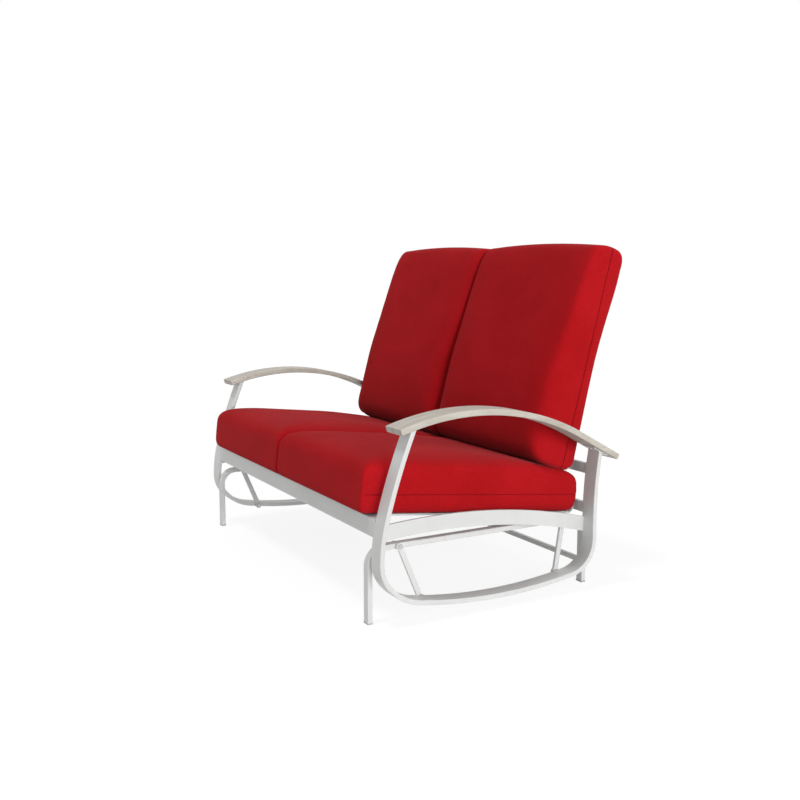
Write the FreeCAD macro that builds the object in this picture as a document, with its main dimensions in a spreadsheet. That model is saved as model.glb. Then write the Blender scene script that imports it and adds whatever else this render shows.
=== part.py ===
import FreeCAD, Part
import math
import os
import re

# Glider bench for two: a low fixed base, four swing links and a gliding seat.
# Millimetres, +Z up, front towards -Y. Heights count from the floor; depths in the
# sheet count from the front of the base legs and are shifted by originY at the end.

DIMENSIONS = [
    ("originY", 427.75, "depth of the middle of the whole bench behind the front legs"),
    ("frameInnerX", 600, "inboard face of the side frames"),
    ("frameTubeWidth", 50, "side frame tube across the bench"),
    ("frameTubeDepth", 13.4, "side frame tube in its plane"),
    ("frameWall", 1.6, "side frame tube wall"),
    ("tubeRound", 2, "rounded long edges of the tubes"),
    ("frontTopY", 91.4, "front edge of the front upright near its top"),
    ("frontTopZ", 511, "height of that edge"),
    ("uprightSpare", 60, "spare length of the uprights, cut off under the arms"),
    ("uprightRadius", 1738, "gentle bow of the upper front upright"),
    ("kneeRadius", 454, "bow of the lower front upright"),
    ("toeRadius", 101.4, "front lower bend"),
    ("heelRadius", 159, "opening of the front lower bend"),
    ("runnerRadius", 1570, "long shallow bow of the runner"),
    ("rearBendRadius", 99.4, "rear lower bend"),
    ("rearRise", 74, "straight rear upright above the bend"),
    ("rearBowRadius", 1117, "bow of the rear upright"),
    ("uprightTopLean", 22.4, "lean of the front upright at the top, degrees"),
    ("uprightMidLean", 14.7, "lean where the two bows meet, degrees"),
    ("toeTurn", 38, "turn of the first lower bend, degrees"),
    ("runnerStart", 80.2, "heading where the runner starts, degrees"),
    ("runnerEnd", 99, "heading where the runner ends, degrees"),
    ("rearTopLean", 9.5, "lean of the rear upright at the top, degrees"),
    ("armOverhang", 17, "arm board inboard of the side frame"),
    ("armWidth", 82, "arm board width"),
    ("armThick", 17, "arm board thickness"),
    ("armRadius", 750, "underside arch of the arm"),
    ("armCentreY", 285, "depth of the arch's crown"),
    ("armCrownZ", 546, "height of the arch's crown, underside"),
    ("armFrontAngle", 17.5, "arch in front of the crown, degrees"),
    ("armRearAngle", 28.4, "arch behind the crown, degrees"),
    ("armTail", 153, "straight tail behind the arch"),
    ("armRound", 3, "rounded long edges of the arm"),
    ("plateThick", 3, "arm mounting plate"),
    ("plateLength", 56, "arm mounting plate along the arm"),
    ("screwSpread", 18, "screw from the middle of its plate"),
    ("screwR", 2.5, "arm screw shank radius"),
    ("screwDepth", 11, "screw length inside the arm"),
    ("screwHeadR", 4.5, "arm screw head radius"),
    ("screwHeadH", 3, "arm screw head height"),
    ("frameGap", 3, "space between the link ends and the side frame"),
    ("baseTubeWidth", 25, "base tube across the bench"),
    ("baseTubeDepth", 14.5, "base tube in its plane"),
    ("baseWall", 1.6, "base tube wall"),
    ("baseDepth", 735, "base frame front to back"),
    ("baseTopZ", 210, "top of the base rail"),
    ("baseBendR", 55, "outer bend of the base frame"),
    ("glideH", 5, "foot glide below the leg"),
    ("plugH", 15, "glide plug inside the leg"),
    ("stretcherZ", 59, "underside of the rear stretcher"),
    ("stretcherH", 14, "height of the rear stretcher"),
    ("pivotR", 4, "pivot bolt shank radius"),
    ("pivotPlay", 0.05, "running clearance of the bearings, on radius"),
    ("openPlay", 1.9, "clearance at the rear links' lower pivots, on radius"),
    ("pivotFrontY", 92, "depth of the front upper pivots"),
    ("pivotRearInset", 97.6, "rear upper pivots in front of the base's rear end"),
    ("pivotLowFrontY", 154, "depth of the front lower pivots"),
    ("pivotLowRearY", 613, "depth of the rear lower pivots"),
    ("bossR", 11, "link end radius"),
    ("bossLength", 9.5, "link end along its pivot"),
    ("linkWidth", 15, "link bar width"),
    ("linkThick", 8, "link bar thickness"),
    ("bearingR", 7.5, "bearing outer radius"),
    ("washerGap", 1.5, "spacer between base rail and link"),
    ("washerR", 8, "spacer radius"),
    ("boltHeadR", 7, "pivot bolt head radius"),
    ("boltHeadH", 4, "pivot bolt head height"),
    ("nutR", 4.9, "threaded insert radius"),
    ("nutLength", 11, "threaded insert length"),
    ("railFrontY", 13, "front face of the front seat rail"),
    ("railDepth", 30, "front seat rail front to back"),
    ("railBottomZ", 237, "underside of the front seat rail"),
    ("railWall", 2, "seat rail wall"),
    ("sideRailThick", 7, "curved side rail, a flat bar on edge"),
    ("sideRailH", 42, "curved side rail height"),
    ("sideRailRadius", 1900, "top edge of the curved side rail"),
    ("sideRailCrownY", 205, "depth of its highest point"),
    ("sideRailCrownZ", 276.5, "height of its highest point"),
    ("crossDepth", 14, "back cross rails front to back"),
    ("lowerCrossY", 708.2, "front face of the lower cross rail"),
    ("lowerCrossZ", 220, "underside of the lower cross rail"),
    ("lowerCrossH", 31, "height of the lower cross rail"),
    ("upperCrossY", 717.5, "front face of the upper cross rail"),
    ("upperCrossZ", 335, "underside of the upper cross rail"),
    ("upperCrossH", 30, "height of the upper cross rail"),
    ("tieWidth", 30, "upright tie between the cross rails"),
    ("seatLineZ", 293.3, "underside of the seat cushions at depth zero"),
    ("seatPitch", 6.43, "fall of the seat to the rear, degrees"),
    ("softGap", 0.3, "clearance around soft pieces"),
    ("slatWidth", 30, "seat slat width"),
    ("slatThick", 5, "seat slat thickness"),
    ("slatBend", 12, "inner bend where a slat turns up"),
    ("slatTopZ", 246, "top of a slat against the lower cross rail"),
    ("slatInset", 60, "middle of the outermost slat inboard of the side frame"),
    ("slatInnerX", 60, "middle of the innermost slat"),
    ("backLean", 15.15, "lean of the back, degrees"),
    ("backPlaneY", 693.5, "front of the back posts at the reference height"),
    ("backPlaneZ", 345, "reference height of the back plane"),
    ("postInset", 77, "outer posts inboard of the side frame"),
    ("postWidth", 25, "back post width"),
    ("postDepth", 18, "back post depth"),
    ("postLow", -9, "bottom of the posts along the lean"),
    ("postHigh", 585, "top of the posts along the lean"),
    ("bottomBarS", 40, "back bottom bar along the lean"),
    ("backBarH", 25, "height of the back bars"),
    ("backSlatThick", 4, "back slat thickness"),
    ("backSlatWidth", 25, "back slat width"),
    ("cushionInset", 24, "cushions inboard of the side frame"),
    ("cushionGap", 1, "half the gap between the two cushions of a pair"),
    ("cushionCorner", 15, "corner radius of a cushion in plan"),
    ("seamInset", 1.5, "depth of the crease at the seam"),
    ("seatCushionLength", 722, "seat cushion front to back"),
    ("seatCushionThick", 164, "seat cushion at the top of its crown"),
    ("seatSeamHeight", 55, "seam of the seat cushion above its underside"),
    ("seatFrontY", -18, "front of the seat cushions"),
    ("backCushionLength", 676.5, "back cushion along the lean, in its middle"),
    ("backCushionThick", 170, "back cushion at the fullest part of its front"),
    ("backSeamHeight", 47.5, "seam of the back cushion in front of the posts"),
    ("backTopArch", 11.5, "middle of a back cushion's top edge above its ends"),
    ("backCushionLow", -5.5, "bottom of the back cushion along the lean"),
]

doc = FreeCAD.newDocument("gliderBench")
sheet = doc.addObject("Spreadsheet::Sheet", "Dimensions")
for row, (alias, value, note) in enumerate(DIMENSIONS, start=1):
    sheet.set("A%d" % row, note)
    sheet.set("B%d" % row, str(value))
    sheet.setAlias("B%d" % row, alias)
doc.recompute()

X_AXIS = FreeCAD.Vector(1, 0, 0)
finished = []
derived = []


def derive(alias, content, note):
    # Adds a row to the sheet for a value that follows from the others.
    derived.append(alias)
    row = len(DIMENSIONS) + len(derived)
    sheet.set("A%d" % row, note)
    sheet.set("B%d" % row, content)
    sheet.setAlias("B%d" % row, alias)
    doc.recompute()


derive("armInnerX", "=frameInnerX - armOverhang", "inboard edge of the arm")
derive("baseOuterX", "=frameInnerX - washerGap - bossLength - frameGap", "outboard face of the base frames")
derive("slatOuterX", "=frameInnerX - slatInset", "middle of the outermost slat")
derive("postOuterX", "=frameInnerX - postInset", "outer face of the outer posts")
derive("cushionWidth", "=frameInnerX - cushionInset - cushionGap", "cushion width")
derive("pivotTopZ", "=baseTopZ - baseTubeDepth / 2", "height of the upper pivots, middle of the base rail")
derive("pivotRearY", "=baseDepth - pivotRearInset", "depth of the rear upper pivots")


def size(name):
    return float(getattr(sheet, name))


def bound(text):
    # Puts the sheet's name before each alias, so formulas below stay short.
    return re.sub(r"\b(?!sin\b|cos\b|tan\b|deg\b|mm\b)([a-z]\w+)\b", r"Dimensions.\1", text)


def bind(obj, **formulas):
    for name, text in formulas.items():
        obj.setExpression(name.replace("_", "."), bound(text))
    return obj


def finish(obj, label):
    obj.Label = label
    finished.append(obj)
    return obj


def place(obj, x="0", y="0", z="0"):
    bind(obj, Placement_Base_x=x, Placement_Base_y=y, Placement_Base_z=z)
    return obj


def box(name, x, y, z, length, width, height):
    made = doc.addObject("Part::Box", name)
    bind(made, Length=length, Width=width, Height=height)
    return place(made, x, "(%s) - originY" % y, z)


def rod(name, radius, length, x, y, z):
    # A cylinder along X that starts at x.
    made = doc.addObject("Part::Cylinder", name)
    made.Placement = FreeCAD.Placement(FreeCAD.Vector(), FreeCAD.Rotation(FreeCAD.Vector(0, 1, 0), 90))
    bind(made, Radius=radius, Height=length)
    return place(made, x, "(%s) - originY" % y, z)


def cut(name, base, tools):
    tool = tools[0]
    if len(tools) > 1:
        tool = doc.addObject("Part::MultiFuse", name + "Tools")
        tool.Shapes = tools
    made = doc.addObject("Part::Cut", name)
    made.Base = base
    made.Tool = tool
    return made


def union(name, parts):
    made = doc.addObject("Part::MultiFuse", name)
    made.Shapes = parts
    return made


def group(name, parts):
    made = doc.addObject("Part::Compound", name)
    made.Links = parts
    return made


def rounded(obj):
    # Rounds the four long edges of a straight bar.
    doc.recompute()
    edges = obj.Shape.Edges
    longest = max(edge.Length for edge in edges)
    made = doc.addObject("Part::Fillet", obj.Name + "Rounds")
    made.Base = obj
    made.Edges = [(n, size("tubeRound"), size("tubeRound")) for n, edge in enumerate(edges, start=1)
                  if edge.Length > 0.99 * longest]
    return made


def tubeX(label, y, z, depth, height, reach, wall):
    # A straight hollow rail across the bench, open at both ends.
    outer = box(label + "Outer", "-(%s)" % reach, y, z, "2 * (%s)" % reach, depth, height)
    bore = box(label + "Bore", "-(%s) - 1" % reach, "(%s) + %s" % (y, wall), "(%s) + %s" % (z, wall),
               "2 * (%s) + 2" % reach, "(%s) - 2 * %s" % (depth, wall), "(%s) - 2 * %s" % (height, wall))
    return finish(cut(label + "Cut", rounded(outer), [bore]), label)


def originPlane(body, role):
    for feature in body.Origin.OriginFeatures:
        if feature.Role == role:
            return feature
    raise ValueError("no plane " + role)


def longEdges(shape, least):
    # Numbers of the edges that lie in a side face and are longer than least.
    return [n for n, edge in enumerate(shape.Edges, start=1)
            if edge.BoundBox.XLength < 0.01 and edge.Length > least]


def profileBody(label, edges, start, width, hollow=None, wall="0", rounds=None, least=30.0):
    # Pads a closed side profile along X. start, width and rounds are formulas in the sheet;
    # edges longer than least are rounded.
    body = doc.addObject("PartDesign::Body", label + "Body")
    sketch = body.newObject("Sketcher::SketchObject", label + "Profile")
    sketch.AttachmentSupport = [(originPlane(body, "YZ_Plane"), "")]
    sketch.MapMode = "FlatFace"
    sketch.setExpression("AttachmentOffset.Base.z", bound(start))
    for edge in edges:
        sketch.addGeometry(edge, False)
    pad = body.newObject("PartDesign::Pad", label + "Pad")
    pad.Profile = sketch
    bind(pad, Length=width)
    doc.recompute()
    if rounds:
        fillet = body.newObject("PartDesign::Fillet", label + "Rounds")
        fillet.Base = (pad, ["Edge%d" % n for n in longEdges(pad.Shape, least)])
        bind(fillet, Radius=rounds)
        doc.recompute()
    if hollow:
        solidVolume = body.Shape.Volume
        inside = body.newObject("Sketcher::SketchObject", label + "Inside")
        inside.AttachmentSupport = [(originPlane(body, "YZ_Plane"), "")]
        inside.MapMode = "FlatFace"
        inside.setExpression("AttachmentOffset.Base.z", bound("(%s) + %s" % (start, wall)))
        for edge in hollow:
            inside.addGeometry(edge, False)
        pocket = body.newObject("PartDesign::Pocket", label + "Pocket")
        pocket.Profile = inside
        bind(pocket, Length="(%s) - 2 * %s" % (width, wall))
        doc.recompute()
        if body.Shape.Volume > 0.9 * solidVolume:
            pocket.Reversed = True
            doc.recompute()
    body.setExpression("Placement.Base.y", bound("-originY"))
    return body


def flat(y, z):
    return FreeCAD.Vector(y, z, 0)


def segment(a, b):
    return Part.LineSegment(flat(*a), flat(*b))


def bend(centre, radius, first, last):
    # An arc from angle first to angle last, anticlockwise, in degrees.
    circle = Part.Circle(flat(*centre), FreeCAD.Vector(0, 0, 1), radius)
    return Part.ArcOfCircle(circle, math.radians(first), math.radians(last))


def walk(start, moves, offset):
    # Follows a bent tube. Heading 0 points down and 90 points to the rear; a move is
    # ("turn", radius, from, to) or ("run", length, heading). offset steps inwards.
    y, z = start
    edges = []
    first = None
    for move in moves:
        if move[0] == "run":
            heading = math.radians(move[2])
            inward = (math.cos(heading), math.sin(heading))
            a = (y + offset * inward[0], z + offset * inward[1])
            y += move[1] * math.sin(heading)
            z -= move[1] * math.cos(heading)
            b = (y + offset * inward[0], z + offset * inward[1])
            edges.append(segment(a, b))
        else:
            radius, h0, h1 = move[1:]
            sign = 1 if h1 > h0 else -1
            c0, s0 = math.cos(math.radians(h0)), math.sin(math.radians(h0))
            c1, s1 = math.cos(math.radians(h1)), math.sin(math.radians(h1))
            centre = (y + sign * radius * c0, z + sign * radius * s0)
            a = (y + offset * c0, z + offset * s0)
            y, z = centre[0] - sign * radius * c1, centre[1] - sign * radius * s1
            b = (y + offset * c1, z + offset * s1)
            if sign > 0:
                edges.append(bend(centre, radius - offset, h0 + 180, h1 + 180))
            else:
                edges.append(bend(centre, radius + offset, h1, h0))
        first = first or a
    return edges, first, b


def meet(point, heading, hit):
    # Walks from a point along a heading until the function hit changes sign.
    step = (math.sin(math.radians(heading)), -math.cos(math.radians(heading)))
    low, high = -60.0, 120.0
    sign = hit(point[0] + low * step[0], point[1] + low * step[1])
    for _ in range(60):
        middle = (low + high) / 2
        value = hit(point[0] + middle * step[0], point[1] + middle * step[1])
        if (value > 0) == (sign > 0):
            low = middle
        else:
            high = middle
    return (point[0] + low * step[0], point[1] + low * step[1])


# The arm's arch: one arc with a straight tail that leaves it at a tangent.
archR = size("armRadius")
archCentre = (size("armCentreY"), size("armCrownZ") - archR)
tailAngle = math.radians(size("armRearAngle"))
tailDirection = (math.cos(tailAngle), -math.sin(tailAngle))
tailNormal = (math.sin(tailAngle), math.cos(tailAngle))


def archPoint(angle, lift):
    # A point on the arch, angle in degrees behind the crown.
    turn = math.radians(angle)
    reach = archR + lift
    return (archCentre[0] + reach * math.sin(turn), archCentre[1] + reach * math.cos(turn))


def tailPoint(along, lift):
    start = archPoint(size("armRearAngle"), lift)
    return (start[0] + along * tailDirection[0], start[1] + along * tailDirection[1])


def underArch(lift):
    # Positive above the arch's circle.
    return lambda y, z: math.hypot(y - archCentre[0], z - archCentre[1]) - (archR + lift)


def underTail(lift):
    start = archPoint(size("armRearAngle"), lift)
    return lambda y, z: (y - start[0]) * tailNormal[0] + (z - start[1]) * tailNormal[1]


def tubeRun():
    lean, mid = size("uprightTopLean"), size("uprightMidLean")
    return [
        ("turn", size("uprightRadius"), -lean, -mid),
        ("turn", size("kneeRadius"), -mid, 0),
        ("turn", size("toeRadius"), 0, size("toeTurn")),
        ("turn", size("heelRadius"), size("toeTurn"), size("runnerStart")),
        ("turn", size("runnerRadius"), size("runnerStart"), size("runnerEnd")),
        ("turn", size("rearBendRadius"), size("runnerEnd"), 180),
        ("run", size("rearRise"), 180),
        ("turn", size("rearBowRadius"), 180, 180 - size("rearTopLean")),
    ]


def spareEnd(point, lean):
    # The end of an upright's spare length.
    turn = math.radians(lean)
    return (point[0] + size("uprightSpare") * math.sin(turn), point[1] + size("uprightSpare") * math.cos(turn))


def frameProfile(near, far):
    # Closed outline of the side frame tube between two offsets from its outer edge. Both
    # ends run on past the arm, where overArm cuts them off.
    start = (size("frontTopY"), size("frontTopZ"))
    outer, outerA, outerB = walk(start, tubeRun(), near)
    inner, innerA, innerB = walk(start, tubeRun(), far)
    front, rear = size("uprightTopLean"), size("rearTopLean")
    topOuter, topInner = spareEnd(outerA, front), spareEnd(innerA, front)
    endOuter, endInner = spareEnd(outerB, rear), spareEnd(innerB, rear)
    return ([segment(topOuter, outerA)] + outer + [segment(outerB, endOuter), segment(endOuter, endInner),
            segment(endInner, innerB)] + inner + [segment(innerA, topInner), segment(topInner, topOuter)])


def overArm():
    # Everything above the undersides of the arm plates.
    low, high = -size("plateThick"), 3 * size("uprightSpare")
    front, rear, tail = -size("armFrontAngle"), size("armRearAngle"), size("armTail")
    return [
        bend(archCentre, archR + low, 90 - rear, 90 - front),
        segment(archPoint(front, low), archPoint(front, high)),
        segment(archPoint(front, high), tailPoint(tail, high)),
        segment(tailPoint(tail, high), tailPoint(tail, low)),
        segment(tailPoint(tail, low), archPoint(rear, low)),
    ]


def runnerHeight(y):
    # Height of the middle of the side frame's lower tube at a depth.
    start = (size("frontTopY"), size("frontTopZ"))
    path = walk(start, tubeRun(), size("frameTubeDepth") / 2)[0][2:6]
    drop = Part.makeLine(FreeCAD.Vector(y, -size("frontTopZ"), 0), FreeCAD.Vector(y, size("frontTopZ"), 0))
    hits = [drop.distToShape(edge.toShape()) for edge in path]
    return min(hit[1][0][0].y for hit in hits if hit[0] < 0.001)


derive("pivotLowFrontZ", str(runnerHeight(size("pivotLowFrontY"))), "height of the front lower pivots")
derive("pivotLowRearZ", str(runnerHeight(size("pivotLowRearY"))), "height of the rear lower pivots")


def armProfile():
    thick = size("armThick")
    front = -size("armFrontAngle")
    rear = size("armRearAngle")
    tail = size("armTail")
    return [
        bend(archCentre, archR, 90 - rear, 90 - front),
        segment(archPoint(front, 0), archPoint(front, thick)),
        bend(archCentre, archR + thick, 90 - rear, 90 - front),
        segment(archPoint(rear, thick), tailPoint(tail, thick)),
        segment(tailPoint(tail, thick), tailPoint(tail, 0)),
        segment(tailPoint(tail, 0), archPoint(rear, 0)),
    ]


# Middle of each arm plate, measured along the arm from where the tubes meet it.
frontTube = meet((size("frontTopY") + size("frameTubeDepth") / 2, size("frontTopZ")),
                 180 - size("uprightTopLean"), underArch(0))
frontPlateAngle = math.degrees(math.atan2(frontTube[0] - archCentre[0], frontTube[1] - archCentre[1]))
rearEnd = walk((size("frontTopY"), size("frontTopZ")), tubeRun(), size("frameTubeDepth") / 2)[2]
rearTube = meet(rearEnd, 180 - size("rearTopLean"), underTail(0))
tailStart = archPoint(size("armRearAngle"), 0)
rearPlateAlong = math.hypot(rearTube[0] - tailStart[0], rearTube[1] - tailStart[1])


def frontPlateProfile():
    half = math.degrees(size("plateLength") / 2 / archR)
    low, high = frontPlateAngle - half, frontPlateAngle + half
    drop = -size("plateThick")
    return [
        bend(archCentre, archR, 90 - high, 90 - low),
        segment(archPoint(low, 0), archPoint(low, drop)),
        bend(archCentre, archR + drop, 90 - high, 90 - low),
        segment(archPoint(high, drop), archPoint(high, 0)),
    ]


def rearPlateProfile():
    half = size("plateLength") / 2
    corners = [tailPoint(rearPlateAlong - half, 0), tailPoint(rearPlateAlong + half, 0),
               tailPoint(rearPlateAlong + half, -size("plateThick")),
               tailPoint(rearPlateAlong - half, -size("plateThick"))]
    return [segment(corners[n], corners[(n + 1) % 4]) for n in range(4)]


def normalRod(name, radius, length, x, foot, lean):
    # A cylinder that points up along the arm's normal. foot is (y, z); lean in degrees to the rear.
    made = doc.addObject("Part::Cylinder", name)
    bind(made, Radius=radius, Height=length)
    made.Placement = FreeCAD.Placement(FreeCAD.Vector(0, foot[0] - size("originY"), foot[1]),
                                       FreeCAD.Rotation(X_AXIS, -lean))
    bind(made, Placement_Base_x=x)
    return made


def screwFeet():
    # Foot point under the plate and lean of each arm screw on one side.
    feet = []
    drop = -size("plateThick")
    for shift in (-1, 1):
        angle = frontPlateAngle + shift * math.degrees(size("screwSpread") / archR)
        feet.append((archPoint(angle, drop), angle))
    for shift in (-1, 1):
        along = rearPlateAlong + shift * size("screwSpread")
        feet.append((tailPoint(along, drop), size("armRearAngle")))
    return feet


SIDES = (("left", -1), ("right", 1))
pivots = (("front", "pivotFrontY", "pivotTopZ", "pivotLowFrontY", "pivotLowFrontZ"),
          ("rear", "pivotRearY", "pivotTopZ", "pivotLowRearY", "pivotLowRearZ"))


def fromX(side, inner, width):
    # Lower X of a piece that starts at inner and is width wide, on either side.
    return inner if side > 0 else "-(%s) - (%s)" % (inner, width)


# Side frames with the holes of the lower pivot bolts.
for word, side in SIDES:
    tube = profileBody("side_frame_" + word, frameProfile(0, size("frameTubeDepth")),
                       fromX(side, "frameInnerX", "frameTubeWidth"), "frameTubeWidth",
                       frameProfile(size("frameWall"), size("frameTubeDepth") - size("frameWall")), "frameWall",
                       rounds="tubeRound")
    holes = [profileBody("overArm" + word, overArm(), fromX(side, "frameInnerX - 2", "frameTubeWidth + 4"),
                         "frameTubeWidth + 4")]
    for end, topY, topZ, lowY, lowZ in pivots:
        holes.append(rod("frameHole%s%s" % (word, end), "pivotR + pivotPlay", "frameWall + 4",
                         fromX(side, "frameInnerX - 2", "frameWall + 4"), lowY, lowZ))
    finish(cut("sideFrameCut" + word, tube, holes), "side_frame_" + word)

# Arms, their plates and their screws.
screws = []
for word, side in SIDES:
    board = profileBody("arm_" + word, armProfile(), fromX(side, "armInnerX", "armWidth"), "armWidth",
                        rounds="armRound", least=60.0)
    middleX = "%d * (frameInnerX + frameTubeWidth / 2)" % side
    pilots = []
    for number, (foot, lean) in enumerate(screwFeet()):
        tag = "%s%d" % (word, number)
        pilots.append(normalRod("pilot" + tag, "screwR + pivotPlay", "plateThick + screwDepth + 1",
                                middleX, foot, lean))
        shank = normalRod("shank" + tag, "screwR", "plateThick + screwDepth", middleX, foot, lean)
        turn = math.radians(lean)
        headFoot = (foot[0] - size("screwHeadH") * math.sin(turn), foot[1] - size("screwHeadH") * math.cos(turn))
        head = normalRod("head" + tag, "screwHeadR", "screwHeadH", middleX, headFoot, lean)
        screws.append(union("screw" + tag, [head, shank]))
    finish(cut("armCut" + word, board, pilots), "arm_" + word)
    for end, profile in (("front", frontPlateProfile()), ("rear", rearPlateProfile())):
        plate = profileBody("arm_plate_%s_%s" % (end, word), profile,
                            fromX(side, "frameInnerX", "frameTubeWidth"), "frameTubeWidth")
        used = pilots[:2] if end == "front" else pilots[2:]
        copies = []
        for number, pilot in enumerate(used):
            foot, lean = screwFeet()[number if end == "front" else number + 2]
            copies.append(normalRod("plateHole%s%s%d" % (end, word, number), "screwR + pivotPlay",
                                    "plateThick + 4", middleX, foot, lean))
        finish(cut("plateCut%s%s" % (end, word), plate, copies), "arm_plate_%s_%s" % (end, word))
finish(group("armScrews", screws), "arm_screws")


def baseProfile(offset, bottom):
    depth, top, radius = size("baseDepth"), size("baseTopZ"), size("baseBendR")
    y0, y1, z1 = offset, depth - offset, top - offset
    return (y0, y1, z1, radius - offset, bottom)


def baseOutline(near, far, bottom):
    # An inverted U between two offsets from its outer edge.
    edges = []
    for offset in (near, far):
        y0, y1, z1, radius, low = baseProfile(offset, bottom)
        edges.append(segment((y0, low), (y0, z1 - radius)))
        edges.append(bend((y0 + radius, z1 - radius), radius, 90, 180))
        edges.append(segment((y0 + radius, z1), (y1 - radius, z1)))
        edges.append(bend((y1 - radius, z1 - radius), radius, 0, 90))
        edges.append(segment((y1, z1 - radius), (y1, low)))
    edges.append(segment((near, bottom), (far, bottom)))
    depth = size("baseDepth")
    edges.append(segment((depth - near, bottom), (depth - far, bottom)))
    return edges


# The base: two inverted U frames, one rear stretcher and four glides.
for word, side in SIDES:
    inner = "baseOuterX - baseTubeWidth"
    tube = profileBody("base_side_" + word, baseOutline(0, size("baseTubeDepth"), size("glideH")),
                       fromX(side, inner, "baseTubeWidth"), "baseTubeWidth",
                       baseOutline(size("baseWall"), size("baseTubeDepth") - size("baseWall"), size("glideH")),
                       "baseWall", rounds="tubeRound")
    holes = []
    for end, topY, topZ, lowY, lowZ in pivots:
        holes.append(rod("baseHole%s%s" % (word, end), "pivotR + pivotPlay", "baseTubeWidth + 4",
                         fromX(side, inner + " - 2", "baseTubeWidth + 4"), topY, topZ))
    finish(cut("baseSideCut" + word, tube, holes), "base_side_" + word)
    for end, legY in (("front", "0"), ("rear", "baseDepth - baseTubeDepth")):
        tag = "glide_%s_%s" % (end, word)
        pad = box(tag + "Pad", fromX(side, inner, "baseTubeWidth"), legY, "0",
                  "baseTubeWidth", "baseTubeDepth", "glideH")
        play = "(baseWall + 0.1)"
        plug = box(tag + "Plug", fromX(side, inner + " + " + play, "baseTubeWidth - 2 * " + play),
                   legY + " + " + play, "glideH", "baseTubeWidth - 2 * " + play,
                   "baseTubeDepth - 2 * " + play, "plugH")
        finish(union(tag + "Union", [pad, plug]), tag)
tubeX("base_stretcher", "baseDepth - baseTubeDepth", "stretcherZ", "baseTubeDepth", "stretcherH",
      "baseOuterX - baseTubeWidth", "baseWall")

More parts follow.
